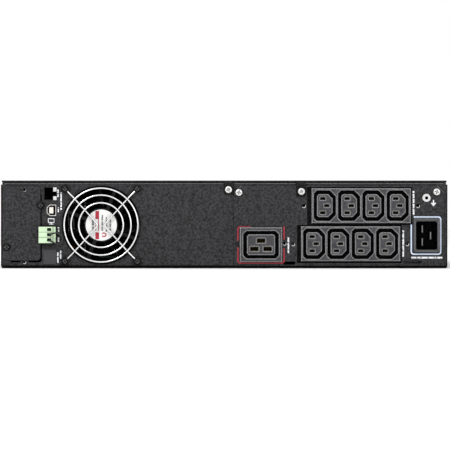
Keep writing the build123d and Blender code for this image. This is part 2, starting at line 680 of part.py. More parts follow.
def outlet_contacts():
    clips = contact_clips(PLATE_FACE + LARGE_FLANGE, centre_of(LARGE_OUTLET), SLOTS_16A, SLOT_16A)
    for strip in (UPPER_STRIP, LOWER_STRIP):
        for centre in strip_centres(strip):
            clips += contact_clips(OUTLET_FACE, centre, SLOTS_10A, SLOT_10A)
    return group(clips)


def inlet_pin_solids():
    u, v = INLET_CENTRE
    face = PLATE_FACE + INLET_PROUD
    back = face - INLET_DEPTH - 12
    blades = []
    for du, dv in INLET_PINS:
        blade = prism(back, face - PIN_SET_BACK, Pos(u + du, v + dv) * Rectangle(*PIN_SIZE))
        tip = blade.faces().sort_by(Axis.Y)[-1].edges()
        blades.append(chamfer(tip, 0.6))
    return blades


def inlet_housing():
    """16 A appliance inlet on its side, with a deep cavity."""
    face = PLATE_FACE + INLET_PROUD
    floor_y = face - INLET_DEPTH
    at_centre = Pos(*INLET_CENTRE)
    body = prism(PLATE_FACE, face, at_centre * RectangleRounded(*INLET_FLANGE, 2.0))
    body = chamfer(body.faces().sort_by(Axis.Y)[-1].edges(), 0.5)
    body += prism(floor_y - 4, PLATE_FACE, at_centre * Rectangle(*INLET_BODY))
    cavity = prism(floor_y, face, at_centre * RectangleRounded(*INLET_CAVITY, 2.4))
    cavity += prism(face - INLET_STEP_DEPTH, face, at_centre * RectangleRounded(*INLET_STEP, 1.6))
    return body - cavity - inlet_pin_solids()


def ground_bush():
    """Bright threaded bush for the ground screw."""
    face = PLATE_FACE + GROUND_PROUD
    back = face - GROUND_LENGTH
    ring = prism(PLATE_FACE, face, Pos(*GROUND) * Circle(GROUND_R))
    ring = chamfer(ring.faces().sort_by(Axis.Y)[-1].edges(), 0.4)
    shank = prism(back, PLATE_FACE, Pos(*GROUND) * Circle(GROUND_SHANK_R))
    return ring + shank - prism(back, face, Pos(*GROUND) * Circle(M4_MINOR_R))


# Electronics
def comms_board():
    """Board that carries the jack, the socket and the terminal, beside the fan."""
    x = WIDTH / 2 - 57.2
    return block(x, x + 1.5, 185, PANEL_BACK - 2, 4, 82)


def main_board():
    board = block(96, 214, -215, 175, 9, 10.6)
    posts = [Pos(x, y, (SHEET + 9) / 2) * Cylinder(3, 9 - SHEET) for x in (104, 206) for y in (-205, -20, 165)]
    return board + posts


def heat_sink():
    """Extruded sink with upright fins along the air path."""
    sink = block(152, 208, -185, -15, 10.6, 16)
    fins = [block(x, x + 2, -185, -15, 16, 68) for x in range(152, 208, 6)]
    return sink + fins


def power_transistors():
    devices = []
    for index in range(8):
        y = -175 + index * 20
        devices.append(block(146.6, 151.8, y, y + 15.6, 14, 34))
    return group(devices)


def bulk_capacitors():
    cans = []
    for row in range(5):
        for x in (112, 134):
            can = fillet(Cylinder(10, 45).edges(), 0.8)
            cans.append(Pos(x, -175 + row * 24, 10.6 + 22.5) * can)
    return group(cans)


def choke():
    """Wound ring on the main board."""
    ring = Cylinder(28, 24) - Cylinder(13, 24)
    return Pos(178, 60, 24) * fillet(ring.edges(), 5)


def mains_filter():
    """Screened filter can between the inlet and the boards."""
    can = block(-205, -125, 120, 195, SHEET, 42)
    return fillet(can.edges().filter_by(Axis.Z), 3)


def transformer_core():
    core = block(-60, 60, 100, 200, 3, 79)
    for x in (-40, 20):
        core -= block(x, x + 20, 100, 200, 15, 67)
    feet = block(-60, -42, 100, 200, SHEET, 3) + block(42, 60, 100, 200, SHEET, 3)
    return core + feet


def transformer_windings():
    coil = block(-39.6, 39.6, 88, 212, 16, 66)
    coil = fillet(coil.edges().filter_by(Axis.Z), 9)
    return coil - block(-20, 20, 100, 200, 15, 67)


# Battery tray
def battery_tray():
    """Sheet tray that slides out to the front, with its own front plate."""
    floor = SHEET + TRAY_CLEARANCE
    plate = rect(-219.0, BAY_X1, floor, 84)
    for column in range(24):
        for z in (20, 48):
            plate -= Pos(-205 + column * 12, z) * SlotOverall(22, 4, rotation=90)
    plate -= circles([(x, TRAY_SCREW_Z) for x in TRAY_SCREW_X], 2.2)
    tray = front_prism(TRAY_FRONT - SHEET, TRAY_FRONT, plate)
    outer = block(TRAY_X0, TRAY_X1, TRAY_FRONT, TRAY_BACK, floor, TRAY_WALL_TOP)
    room = block(
        TRAY_X0 + TRAY_SHEET,
        TRAY_X1 - TRAY_SHEET,
        TRAY_FRONT,
        TRAY_BACK - TRAY_SHEET,
        floor + TRAY_SHEET,
        TRAY_WALL_TOP,
    )
    return tray + (outer - room)


def battery_corners():
    """Low corner of each of the six batteries."""
    x0 = TRAY_X0 + TRAY_SHEET + 0.5
    y0 = TRAY_FRONT + 0.6
    z0 = SHEET + TRAY_CLEARANCE + TRAY_SHEET
    return [
        (x0 + column * (BATTERY[0] + BATTERY_GAP), y0 + row * BATTERY_ROW, z0)
        for row in range(3)
        for column in range(2)
    ]


def battery(corner):
    """Sealed block battery on its side: case, lid joint and terminal recess."""
    x, y, z = corner
    length, height, width = BATTERY
    case = fillet(block(x, x + length, y, y + height, z, z + width).edges(), 1.5)
    joint = block(x - 1, x + length + 1, y + height - 14, y + height - 13, z - 1, z + width + 1)
    joint -= block(x + 0.6, x + length - 0.6, y, y + height, z + 0.6, z + width - 0.6)
    recess = block(x + 20, x + length - 20, y + height - 1.5, y + height, z + 18, z + width - 18)
    return case - joint - recess


def battery_tabs():
    """Two blade terminals on each battery."""
    tabs = []
    for x, y, z in battery_corners():
        for dx in (10, BATTERY[0] - 16.3):
            y0 = y + BATTERY[1]
            tabs.append(block(x + dx, x + dx + 6.3, y0, y0 + 5.6, z + BATTERY[2] / 2, z + BATTERY[2] / 2 + 0.8))
    return group(tabs)


def battery_plug():
    """Two-pole power plug on the tray's rear wall."""
    x, z = CONNECTOR_CENTRE
    w, h = CONNECTOR[0] / 2, CONNECTOR[1] / 2
    plug = front_prism(TRAY_BACK, TRAY_BACK + 16, rect(x - w, x + w, z - h, z + h, 1.5))
    bores = circles([(x - 6.5, z), (x + 6.5, z)], 3.2)
    return plug - front_prism(TRAY_BACK + 6, TRAY_BACK + 16, bores)


def battery_socket():
    """Power socket fixed to the bay's rear wall, around the plug."""
    x, z = CONNECTOR_CENTRE
    w, h = CONNECTOR[0] / 2, CONNECTOR[1] / 2
    outer = rect(x - w - 3, x + w + 3, z - h - 3, z + h + 3, 2)
    inner = rect(x - w - 0.4, x + w + 0.4, z - h - 0.4, z + h + 0.4, 1.5)
    back = BAY_BACK + SHEET
    socket = front_prism(BAY_BACK - 2, back + 18, outer)
    socket += front_prism(back, back + 3, rect(x - w - 8, x + w + 8, z - h - 6, z + h + 6, 2))
    return socket - front_prism(BAY_BACK - 2, back + 14, inner)


# Front
def bezel_shell(x0, x1, back):
    """Moulded front cover, open at the back."""
    z0, z1 = BEZEL_Z
    shell = block(x0, x1, FRONT, back, z0, z1)
    edges = shell.faces().sort_by(Axis.Y)[0].edges()
    shell = fillet(edges, 2.0)
    wall = BEZEL_WALL
    return shell - block(x0 + wall, x1 - wall, FRONT + wall, back, z0 + wall, z1 - wall)


def battery_bezel():
    """Grilled cover in front of the battery tray."""
    shell = bezel_shell(-WIDTH / 2, BEZEL_SPLIT - 0.4, TRAY_FRONT - SHEET)
    slots = Sketch()
    for column in range(32):
        slots += Pos(-204.5 + column * GRILLE_PITCH, 39) * SlotOverall(56, 3.2, rotation=90)
    slots += circles([(x, TRAY_SCREW_Z) for x in TRAY_SCREW_X], 5.4)
    return shell - front_prism(FRONT, FRONT + BEZEL_WALL, slots)


def tray_screws():
    """Captive thumb screws that lock the tray to the front cross member."""
    screws = []
    for x in TRAY_SCREW_X:
        head = Cylinder(4.8, 12)
        head -= [Rot(0, 0, turn * 20) * Pos(4.9, 0, 0) * Cylinder(0.4, 12) for turn in range(18)]
        head -= Pos(0, 0, 6) * Box(8, 1.0, 2.4)
        shank = Pos(0, 0, -9) * Cylinder(2.0, 7)
        place = front_plane(TRAY_FRONT - SHEET - 6).location * Pos(x, TRAY_SCREW_Z, 0)
        screws.append(place * (head + shank))
    return group(screws)


def front_bezel():
    """Fixed cover with a recess for the tilting display."""
    shell = bezel_shell(BEZEL_SPLIT, WIDTH / 2, CASE_FRONT)
    x0, x1, z0, z1 = DISPLAY
    depth = DISPLAY_THICKNESS + 0.6
    pocket = rect(x0 - 3, x1 + 3, z0 - 3, z1 + 3)
    recess = rect(x0 - 0.6, x1 + 0.6, z0 - 0.8, z1 + 0.6)
    shell += front_prism(FRONT + 1, FRONT + depth + 2, pocket)
    shell -= front_prism(FRONT, FRONT + depth, recess)
    length = x1 - x0 + 4.6
    hinge = Pos((x0 + x1) / 2, HINGE_Y, HINGE_Z) * Rot(0, 90, 0) * Cylinder(HINGE_PIN_R + 0.1, length)
    vents = Sketch()
    for column in range(11):
        vents += Pos(108 + column * 7, 11.5) * SlotOverall(9, 3, rotation=90)
    vents += Pos(*POWER_BUTTON) * Circle(POWER_R + KEY_GAP)
    return shell - hinge - front_prism(FRONT, FRONT + BEZEL_WALL, vents)


def display_housing():
    """Tilting housing: hinge pins on its round top edge, open at the back."""
    x0, x1, z0, z1 = DISPLAY
    back = FRONT + DISPLAY_THICKNESS
    body = block(x0, x1, FRONT, back, z0, z1)
    lengthwise = body.edges().filter_by(Axis.X)
    body = fillet(lengthwise.sort_by(lambda e: e.center().Y - e.center().Z)[0], HINGE_R)
    lowest = body.edges().filter_by(Axis.X).sort_by(lambda e: e.center().Y - e.center().Z)[-1]
    body = chamfer(lowest, 4.0)
    wall = DISPLAY_WALL
    body -= block(x0 + wall, x1 - wall, FRONT + wall, back, z0 + 5, z1 - wall - 1.4)
    axle = Pos((x0 + x1) / 2, HINGE_Y, HINGE_Z) * Rot(0, 90, 0) * Cylinder(HINGE_PIN_R, x1 - x0 + 4)
    body += axle - block(x0 + wall, x1 - wall, FRONT, back, z0, z1)
    body -= front_prism(FRONT, FRONT + 1.2, rect(*LENS, 1.5))
    holes = circles(KEYS.values(), KEY_R + KEY_GAP) + circles(STATUS_LENSES, 1.4)
    return body - front_prism(FRONT, FRONT + wall, holes)


def display_lens():
    return front_prism(FRONT, FRONT + 1.2, rect(*LENS, 1.5))


def display_board():
    """Board that closes the display housing's back."""
    x0, x1, z0, z1 = DISPLAY
    y = FRONT + DISPLAY_THICKNESS - 2.6
    return block(x0 + 2.2, x1 - 2.2, y, y + 1.6, z0 + 5.2, z1 - 4)


def status_lenses():
    return group(front_prism(FRONT - 0.2, FRONT + 2.6, Pos(x, z) * Circle(1.4)) for x, z in STATUS_LENSES)


def push_button(centre, radius, wall):
    """Round cap with a retaining flange behind the front wall."""
    x, z = centre
    flange_y = FRONT + wall + KEY_GAP
    cap = front_prism(FRONT - KEY_PROUD, flange_y, Pos(x, z) * Circle(radius))
    cap = fillet(cap.faces().sort_by(Axis.Y)[0].edges(), 0.5)
    return cap + front_prism(flange_y, flange_y + 1.2, Pos(x, z) * Circle(radius + 1.0))


def build():
    parts = {
        "chassis_base": chassis_base(),
        "top_cover": top_cover(),
        "rear_wall": rear_wall(),
        "outlet_panel": outlet_panel(),
        "battery_bay_wall": battery_bay_wall(),
        "card_slot_cover": card_slot_cover(),
        "card_cover_screws": card_cover_screws(),
        "cover_screws": cover_screws(),
        "fan_frame": fan_frame(),
        "fan_rotor": fan_rotor(),
        "fan_guard": fan_guard(),
        "fan_screws": fan_screws(),
        "fan_label": fan_label(),
        "serial_jack": serial_jack(),
        "jack_light_pipes": jack_light_pipes(),
        "usb_shell": usb_shell(),
        "usb_tongue": usb_tongue(),
        "terminal_header": terminal_header(),
        "terminal_plug": terminal_plug(),
        "terminal_screws": terminal_screws(),
        "jumper_wire": jumper_wire(),
        "port_blank_plate": port_blank_plate(),
        "outlet_16a": outlet_16a(),
        "outlet_strip_upper": outlet_strip(UPPER_STRIP),
        "outlet_strip_lower": outlet_strip(LOWER_STRIP),
        "outlet_contacts": outlet_contacts(),
        "inlet_housing": inlet_housing(),
        "inlet_pins": group(inlet_pin_solids()),
        "ground_bush": ground_bush(),
        "comms_board": comms_board(),
        "main_board": main_board(),
        "heat_sink": heat_sink(),
        "power_transistors": power_transistors(),
        "bulk_capacitors": bulk_capacitors(),
        "choke": choke(),
        "mains_filter": mains_filter(),
        "transformer_core": transformer_core(),
        "transformer_windings": transformer_windings(),
        "battery_tray": battery_tray(),
        "battery_tabs": battery_tabs(),
        "battery_plug": battery_plug(),
        "battery_socket": battery_socket(),
        "battery_bezel": battery_bezel(),
        "tray_screws": tray_screws(),
        "front_bezel": front_bezel(),
        "display_housing": display_housing(),
        "display_lens": display_lens(),
        "display_board": display_board(),
        "status_lenses": status_lenses(),
        "power_button": push_button(POWER_BUTTON, POWER_R, BEZEL_WALL),
    }
    for number, corner in enumerate(battery_corners(), start=1):
        parts[f"battery_{number}"] = battery(corner)
    for name, centre in KEYS.items():
        parts[name] = push_button(centre, KEY_R, DISPLAY_WALL)
    return parts


os.makedirs("parts", exist_ok=True)
for name, shape in build().items():
    export_step(shape, f"parts/{name}.step")
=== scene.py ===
import json
import random
from math import atan2, cos, pi, radians, sin

import bpy
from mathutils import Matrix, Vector


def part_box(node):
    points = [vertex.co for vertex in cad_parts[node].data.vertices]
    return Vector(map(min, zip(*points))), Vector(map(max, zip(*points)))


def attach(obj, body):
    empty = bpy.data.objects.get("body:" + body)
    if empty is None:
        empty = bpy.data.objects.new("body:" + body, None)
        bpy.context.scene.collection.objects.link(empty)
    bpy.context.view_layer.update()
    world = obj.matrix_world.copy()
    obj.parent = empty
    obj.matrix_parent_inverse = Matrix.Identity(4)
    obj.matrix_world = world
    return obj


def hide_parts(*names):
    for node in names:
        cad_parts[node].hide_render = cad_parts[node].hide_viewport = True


# The looks of a 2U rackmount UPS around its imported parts. Lengths are in metres. The rear wall
# is laid out as it is seen from behind, in millimetres: u runs right from the case's left edge,
# v runs up from its bottom and y is the distance behind the middle of the case.

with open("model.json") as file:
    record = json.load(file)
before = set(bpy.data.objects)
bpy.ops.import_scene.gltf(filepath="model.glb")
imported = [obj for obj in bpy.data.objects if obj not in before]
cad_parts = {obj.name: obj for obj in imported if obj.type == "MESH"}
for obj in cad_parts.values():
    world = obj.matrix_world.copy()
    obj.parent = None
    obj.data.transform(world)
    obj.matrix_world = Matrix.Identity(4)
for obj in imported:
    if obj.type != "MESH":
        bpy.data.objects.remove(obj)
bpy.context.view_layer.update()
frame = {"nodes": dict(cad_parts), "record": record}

HALF_WIDTH = 220.5            # of the case
PANEL = 261.0                 # y of the rear wall's face
PLATE = 262.0                 # y of the outlet plate's face
INK = 0.03                    # how far printing stands off the face under it

OUTLINE_CORNER = 2.6          # radius of the printed outlines' corners
OUTLET_OUTLINE_WIDTH = 1.25
INLET_OUTLINE_WIDTH = 1.35

# Each clip or nut hole: u, v, radius, and y of the face that it is cut in
RIMMED_HOLES = ((299.2, 61.2, 1.9, PLATE), (411.8, 61.2, 1.9, PLATE), (288.6, 23.5, 1.9, PLATE),
                (401.3, 23.5, 1.9, PLATE), (280.1, 24.1, 1.9, PLATE), (23.3, 76.8, 1.6, PANEL),
                (23.3, 5.6, 1.6, PANEL))
RIM_WIDTH = 0.55
RIM_INSET = 0.3               # of the rim's middle line from the hole's edge
RIM_DEPTH = 0.25              # of the rim below the face

# The serial jack's contacts, one above the other, each along the same (u, y) points
JACK_V = 73.5
CONTACT_COUNT = 8
CONTACT_PITCH = 1.02
CONTACT_WIDTH = 0.45
CONTACT_THICKNESS = 0.25
CONTACT_PATH = ((43.1, 259.6), (43.4, 258.2), (46.0, 253.0), (46.3, 250.0))

# The wire between two poles of the green plug: (u, v, y) points, and its diameter in metres
WIRE_ROUTE = ((48.3, 33.0, 266.6), (48.3, 33.0, 271.6), (50.9, 33.9, 275.6), (55.6, 35.0, 277.0),
              (60.4, 33.6, 276.6), (62.4, 29.2, 275.4), (60.6, 24.9, 275.2), (55.8, 23.8, 276.6),
              (51.0, 26.4, 275.4), (48.3, 27.92, 271.6), (48.3, 27.92, 266.6))
WIRE_D = 0.0017

# The nodes that don't take the finish named after their material slot: the inlet's pins take a
# darker metal, a painted shade for pins deep in the inlet's cavity
NODE_FINISHES = {"inlet_pins": "shaded_inlet_blades"}

# Blocks that stand for lettering: shortest and longest, and the gaps between blocks and words
MARK_LENGTHS = (0.6, 1.1)
MARK_GAP = 0.22
WORD_GAP = 0.75
SYMBOL_WIDTH = 0.8            # of the strokes of the keys' symbols
POWER_RING_R = 2.2

# How far a normal turns (as a cosine) where an edge's mask starts and where it is full, how much
# of the sky a point sees where it counts as shut and as open for the painted shade in hollows,
# and the size of broad smudges
EDGE_TURN = (0.985, 0.84)
OPEN_SHARE = (0.28, 0.88)
SMUDGE_SIZE = 0.035

CAMERA_PLACE = (-0.00079, 2.730, 0.04256)
CAMERA_LENS = 200
FLOOR_HALF = 25.0
FLOOR_Z = -0.0002


# --- Camera, light and floor ---------------------------------------------------------------

def set_camera(place, lens):
    data = bpy.data.cameras.new("camera")
    data.lens = lens
    data.sensor_width = 36.0
    camera = bpy.data.objects.new("camera", data)
    camera.location = place
    camera.rotation_euler = (pi / 2, 0, pi)
    bpy.context.scene.collection.objects.link(camera)
    bpy.context.scene.camera = camera


def add_light(name, place, target, size, power):
    data = bpy.data.lights.new(name, "AREA")
    data.shape = "DISK"
    data.size = size
    data.energy = power
    light = bpy.data.objects.new(name, data)
    light.location = place
    light.rotation_euler = (Vector(target) - Vector(place)).to_track_quat("-Z", "Y").to_euler()
    bpy.context.scene.collection.objects.link(light)


def set_studio():
    world = bpy.data.worlds.new("studio")
    world.use_nodes = True
    background = world.node_tree.nodes["Background"]
    background.inputs["Color"].default_value = (1.0, 1.0, 1.0, 1.0)
    background.inputs["Strength"].default_value = 1.0
    bpy.context.scene.world = world
    bpy.context.scene.view_settings.view_transform = "Standard"
    rear, middle = (0, 0.26, 0.04), (0, 0, 0.04)
    add_light("key", place=(0.9, 1.5, 1.3), target=rear, size=0.7, power=13)
    add_light("fill", place=(-1.1, 1.7, 0.5), target=rear, size=1.2, power=4)
    add_light("front_fill", place=(0.5, -2.0, 1.2), target=middle, size=1.2, power=10)


# --- Materials -----------------------------------------------------------------------------

class Finish:
    """A procedural material around one Principled shader, with its patterns sized in metres."""

    def __init__(self, name, **values):
        self.material = bpy.data.materials.new(name)
        self.material.use_nodes = True
        self.tree = self.material.node_tree
        self.shader = self.tree.nodes["Principled BSDF"]
        self.place = self.add("ShaderNodeTexCoord").outputs["Object"]
        for socket, value in values.items():
            self.shader.inputs[socket.replace("_", " ")].default_value = value

    def add(self, kind, **settings):
        node = self.tree.nodes.new(kind)
        for key, value in settings.items():
            setattr(node, key, value)
        return node

    def link(self, source, target):
        self.tree.links.new(source, target)

    def noise(self, size, detail=2.0, stretch=None):
        """Noise with features of about this size; stretch scales the coordinates on each axis."""
        node = self.add("ShaderNodeTexNoise")
        node.inputs["Scale"].default_value = 1 / size
        node.inputs["Detail"].default_value = detail
        source = self.place
        if stretch:
            scaled = self.add("ShaderNodeVectorMath", operation="MULTIPLY")
            scaled.inputs[1].default_value = stretch
            self.link(source, scaled.inputs[0])
            source = scaled.outputs["Vector"]
        self.link(source, node.inputs["Vector"])
        return node.outputs["Fac"]

    def remap(self, source, low, high, new_low, new_high):
        node = self.add("ShaderNodeMapRange")
        for index, value in enumerate((low, high, new_low, new_high), 1):
            node.inputs[index].default_value = value
        self.link(source, node.inputs[0])
        return node.outputs["Result"]

    def scaled(self, vector, factor):
        node = self.add("ShaderNodeVectorMath", operation="SCALE")
        if isinstance(vector, tuple):
            node.inputs[0].default_value = vector
        else:
            self.link(vector, node.inputs[0])
        self.link(factor, node.inputs["Scale"])
        return node.outputs["Vector"]

    def edges(self, radius):
        """A mask that is 1 on sharp edges and 0 elsewhere."""
        bevel = self.add("ShaderNodeBevel", samples=4)
        bevel.inputs["Radius"].default_value = radius
        plain = self.add("ShaderNodeNewGeometry")
        dot = self.add("ShaderNodeVectorMath", operation="DOT_PRODUCT")
        self.link(bevel.outputs["Normal"], dot.inputs[0])
        self.link(plain.outputs["Normal"], dot.inputs[1])
        return self.remap(dot.outputs["Value"], *EDGE_TURN, 0.0, 1.0)

    def painted_shade_mask(self, reach):
        """A mask that is 1 in the open and 0 in holes, grooves and corners, where it paints
        shade.
        """
        occlusion = self.add("ShaderNodeAmbientOcclusion", samples=6)
        occlusion.inputs["Distance"].default_value = reach
        return self.remap(occlusion.outputs["AO"], *OPEN_SHARE, 0.0, 1.0)

    def mixed(self, factor, first, second):
        node = self.add("ShaderNodeMix", data_type="RGBA")
        self.link(factor, node.inputs[0])
        for socket, value in ((node.inputs[6], first), (node.inputs[7], second)):
            if isinstance(value, tuple):
                socket.default_value = (*value, 1.0)
            else:
                self.link(value, socket)
        return node.outputs[2]


def finish(name, color, rough, grain=0.12, grain_size=0.001, smudge=0.06, bump=0.1,
           wear=0.25, edge=0.0004, worn=None, stretch=None, reach=0.006, deep=0.06,
           uneven=0.07, **values):
    """A base colour with grain, broad smudges, roughness variation, fine bump, edges in a tone of
    their own (part wear, part painted highlight; painted shade on the case paint) and painted
    shade in holes, grooves and corners, on the colour and the specular level: reach is how far
    a hole's walls may be, and the hollow shade the share of colour and specular level kept there."""
    made = Finish(name, Roughness=rough, **values)
    fine = made.noise(grain_size, 3.0, stretch)
    broad = made.noise(SMUDGE_SIZE, 2.0)
    tint = made.scaled(color, made.remap(fine, 0.3, 0.7, 1 - grain, 1 + grain))
    tint = made.scaled(tint, made.remap(broad, 0.35, 0.65, 1 - smudge, 1 + smudge))
    # Edges are mixed towards an edge tone: a painted highlight where a finish gives a lighter
    # one, painted shade on the case paint's near-black edges, and by default a lighter tone that
    # is part wear, part painted highlight.
    if wear:
        mask = made.remap(made.edges(edge), 0.0, 1.0, 0.0, wear)
        tint = made.mixed(mask, tint, worn or tuple(min(1.0, c * 2.2 + 0.03) for c in color))
    # Painted shade: colour and specular level are taken down where a point sees little of the
    # sky, in holes, grooves and corners.
    if deep < 1:
        unshaded = made.painted_shade_mask(reach)
        tint = made.scaled(tint, made.remap(unshaded, 0.0, 1.0, deep, 1.0))
        gloss = made.shader.inputs["Specular IOR Level"]
        full = gloss.default_value
        made.link(made.remap(unshaded, 0.0, 1.0, deep * full, full), gloss)
    made.link(tint, made.shader.inputs["Base Color"])
    rough_low, rough_high = max(0.03, rough - uneven), min(1.0, rough + uneven)
    made.link(made.remap(broad, 0.3, 0.7, rough_low, rough_high), made.shader.inputs["Roughness"])
    relief = made.add("ShaderNodeBump")
    relief.inputs["Strength"].default_value = bump
    relief.inputs["Distance"].default_value = grain_size * 0.3
    made.link(fine, relief.inputs["Height"])
    made.link(relief.outputs["Normal"], made.shader.inputs["Normal"])
    return made.material


def metal(name, color, rough, **options):
    return finish(name, color, rough, Metallic=1.0, **{"grain": 0.06, "wear": 0.15, **options})


def plastic(name, color, rough, **options):
    return finish(name, color, rough, **{"Specular_IOR_Level": 0.4, "bump": 0.06, **options})


def powder_coat(name, color, specular, wear, worn):
    """Textured powder coat: a mottled grain about two millimetres across, under a soft sheen."""
    return finish(name, color, 0.6, grain=0.9, grain_size=0.0021, smudge=0.04, bump=0.55,
                  uneven=0.02, wear=wear, edge=0.0009, worn=worn, deep=0.12,
                  Specular_IOR_Level=specular)


def make_finishes():
    # Each finish below takes painted shade in its holes, grooves and corners; the smaller its
    # hollow-shade value, the darker that painted shade.
    return {
        # Painted shade: near-black edges, for the dark rim along the case's edges.
        "case_paint": powder_coat("case_paint", (0.011, 0.0108, 0.0118), specular=0.11, wear=1.0,
                                  worn=(0.0006, 0.0006, 0.0006)),
        # Painted highlight on the panels' edges.
        "panel_paint": powder_coat("panel_paint", (0.022, 0.0215, 0.0235), specular=0.24,
                                   wear=0.3, worn=(0.06, 0.06, 0.065)),
        "zinc_sheet": metal("zinc_sheet", (0.62, 0.63, 0.65), 0.38, grain_size=0.006, grain=0.12),
        # Painted highlights on the screw heads' edges, painted shade in their recesses.
        "black_screw": plastic("black_screw", (0.002, 0.002, 0.0022), 0.2, reach=0.002, deep=0.03,
                               wear=0.9, worn=(0.50, 0.50, 0.52), edge=0.0004,
                               Specular_IOR_Level=0.12),
        # Painted highlights on the screw heads' edges, painted shade in their recesses.
        "bright_screw": metal("bright_screw", (0.74, 0.74, 0.73), 0.27, reach=0.0022, deep=0.03,
                              wear=0.6, worn=(0.98, 0.98, 0.97)),
        "fan_plastic": plastic("fan_plastic", (0.004, 0.004, 0.0045), 0.4, reach=0.03,
                               Specular_IOR_Level=0.2),
        "chrome_wire": metal("chrome_wire", (0.90, 0.90, 0.91), 0.16),
        "label_paper": plastic("label_paper", (0.80, 0.80, 0.79), 0.5, wear=0.0, grain=0.03),
        "black_plastic": plastic("black_plastic", (0.008, 0.008, 0.009), 0.42, reach=0.015,
                                 deep=0.02, Specular_IOR_Level=0.3),
        "clear_plastic": plastic("clear_plastic", (0.80, 0.81, 0.80), 0.22, grain=0.04,
                                 Transmission_Weight=0.25),
        "nickel_shell": metal("nickel_shell", (0.78, 0.77, 0.74), 0.24),
        "white_plastic": plastic("white_plastic", (0.82, 0.79, 0.72), 0.4, grain=0.04),
        "green_plastic": plastic("green_plastic", (0.53, 0.70, 0.47), 0.38, grain=0.05,
                                 reach=0.004),
        "wire_sleeve": plastic("wire_sleeve", (0.012, 0.012, 0.013), 0.35, wear=0.0),
        "blank_plastic": plastic("blank_plastic", (0.040, 0.039, 0.045), 0.4),
        # Painted highlights along the outlets' edges, painted shade in their grooves and slots.
        "outlet_plastic": plastic("outlet_plastic", (0.036, 0.035, 0.039), 0.42, wear=0.95,
                                  edge=0.0018, worn=(0.46, 0.46, 0.47), grain=0.6,
                                  grain_size=0.002, reach=0.008, deep=0.02),
        # Painted highlights on the inlet's edges, painted shade deep in its cavity.
        "inlet_plastic": plastic("inlet_plastic", (0.034, 0.034, 0.038), 0.4, wear=0.8,
                                 edge=0.0014, worn=(0.22, 0.22, 0.23), reach=0.03, deep=0.02,
                                 grain=0.3, grain_size=0.002),
        "brass": metal("brass", (0.80, 0.62, 0.30), 0.3, reach=0.014, deep=0.01),
        # Painted shade: a darker copy of metal for the inlet's pins, deep in its cavity.
        "shaded_inlet_blades": metal("shaded_inlet_blades", (0.22, 0.22, 0.22), 0.3, reach=0.03, deep=0.02),
        "board": plastic("board", (0.02, 0.13, 0.055), 0.35, grain_size=0.004, grain=0.2),
        "sink_aluminium": metal("sink_aluminium", (0.74, 0.75, 0.76), 0.34,
                                stretch=(1.0, 0.03, 1.0)),
        "capacitor_sleeve": plastic("capacitor_sleeve", (0.03, 0.045, 0.09), 0.28),
        "copper_enamel": finish("copper_enamel", (0.50, 0.19, 0.07), 0.32, grain=0.3, bump=0.5,
                                stretch=(0.1, 1.0, 1.0), Coat_Weight=0.5),
        "core_steel": metal("core_steel", (0.16, 0.16, 0.17), 0.5, stretch=(1.0, 1.0, 0.05),
                            grain=0.3, bump=0.3),
        "battery_case": plastic("battery_case", (0.055, 0.055, 0.060), 0.45),
        "connector_plastic": plastic("connector_plastic", (0.33, 0.34, 0.35), 0.4),
        "bezel_plastic": plastic("bezel_plastic", (0.010, 0.010, 0.011), 0.48, grain=0.2,
                                 bump=0.2, uneven=0.03),
        "display_plastic": plastic("display_plastic", (0.020, 0.020, 0.022), 0.3),
        "lens_glass": plastic("lens_glass", (0.012, 0.016, 0.022), 0.08, grain=0.03, bump=0.01,
                              wear=0.1, Coat_Weight=0.6),
        "key_rubber": plastic("key_rubber", (0.11, 0.11, 0.115), 0.55),
    }


def make_inks():
    """Printing, a lighter coating tone for painted highlights along edges, and the lit parts of
    the display.
    """
    lit = Finish("lit_segments", Roughness=0.4, Emission_Strength=1.4)
    glow = lit.remap(lit.noise(0.004), 0.3, 0.7, 0.8, 1.0)
    for socket in ("Base Color", "Emission Color"):
        lit.link(lit.scaled((0.45, 0.75, 1.0), glow), lit.shader.inputs[socket])
    ink = {"grain": 0.16, "grain_size": 0.0009, "wear": 0.0}
    return {
        "white": plastic("white_ink", (0.90, 0.91, 0.94), 0.5, **ink),
        "blue_white": plastic("blue_white_ink", (0.64, 0.74, 0.90), 0.5, **ink),
        "red": plastic("red_ink", (0.38, 0.016, 0.034), 0.45, **ink),
        "grey": plastic("dark_ink", (0.06, 0.06, 0.065), 0.5, **ink),
        # Painted highlight: a lighter coating tone laid along edges that catch the light.
        "worn": plastic("painted_highlight_coating", (0.095, 0.095, 0.098), 0.5, grain=0.5, grain_size=0.003,
                        wear=0.0, deep=1.0),
        "lit": lit.material,
    }


# --- Shapes --------------------------------------------------------------------------------

def at(u, v, y):
    """A point of the rear wall, in the object's frame and in metres."""
    return Vector((HALF_WIDTH - u, y, v)) / 1000


def add_piece(name, faces, material, body):
    """One object from polygons of points in the object's frame, riding on a body."""
    points = [point for face in faces for point in face]
    corners, start = [], 0
    for face in faces:
        corners.append(range(start, start + len(face)))
        start += len(face)
    mesh = bpy.data.meshes.new(name)
    mesh.from_pydata(points, [], corners)
    mesh.materials.append(material)
    piece = bpy.data.objects.new(name, mesh)
    bpy.context.scene.collection.objects.link(piece)
    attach(piece, body)
    return piece


def bar(u0, u1, v0, v1):
    return [(u0, v0), (u1, v0), (u1, v1), (u0, v1)]


def rounded(corners, radius, steps=6):
    """A path through these corners, with each inner corner rounded."""
    path = [corners[0]]
    for before, corner, after in zip(corners, corners[1:], corners[2:]):
        tip, back, on = (Vector(p) for p in (corner, before, after))
        start = tip + (back - tip).normalized() * radius
        end = tip + (on - tip).normalized() * radius
        for k in range(steps + 1):
            t = k / steps
            point = start * (1 - t) ** 2 + tip * 2 * t * (1 - t) + end * t ** 2
            path.append(tuple(point))
    return path + [corners[-1]]


